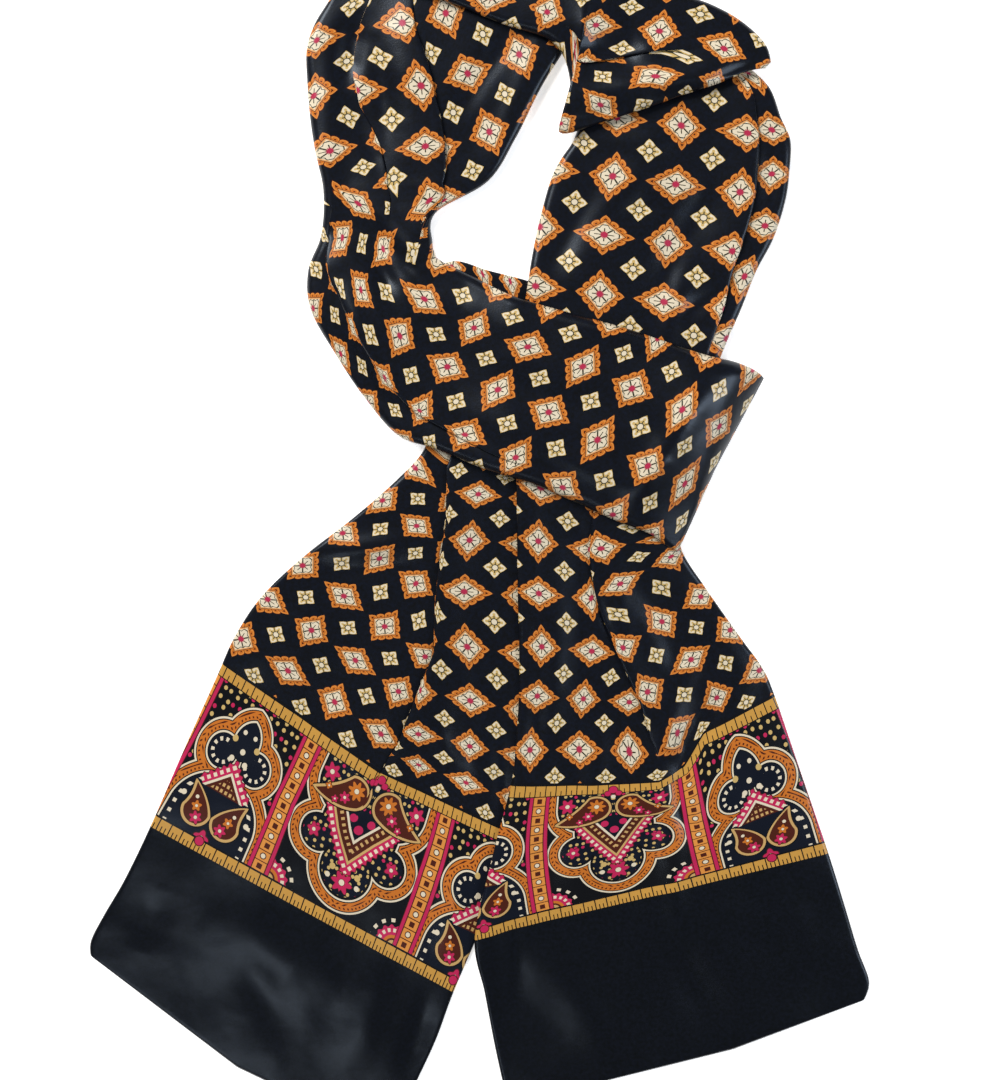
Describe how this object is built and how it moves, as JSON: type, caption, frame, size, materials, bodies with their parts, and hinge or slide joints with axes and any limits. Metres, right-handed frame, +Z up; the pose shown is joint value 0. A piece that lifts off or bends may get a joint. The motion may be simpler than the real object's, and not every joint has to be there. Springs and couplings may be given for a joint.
{
  "type": "looped satin scarf laid flat",
  "caption": "Long printed satin scarf tied in a loose loop and laid flat, with two fanned tails that end in a border and a plain hem.",
  "frame": {"origin": "centre of the bottom of the scarf's box, on the surface that it lies on", "axes": "+Z up from that surface, +Y from the tails' hems towards the neck loop, +X to the picture's right"},
  "size_m": [0.5558, 0.856, 0.0297],
  "materials": {
    "printed_satin": "satin weave, printed medallions on navy black, soft sheen",
    "bordered_satin": "satin weave, printed, with border and plain navy black end, soft sheen"
  },
  "bodies": {
    "root": {"neck_back": "printed_satin", "neck_left": "printed_satin", "front_wrap": "printed_satin", "back_wrap": "printed_satin", "neck_right": "printed_satin", "left_tail": "bordered_satin", "right_tail": "bordered_satin"}
  },
  "joints": []
}
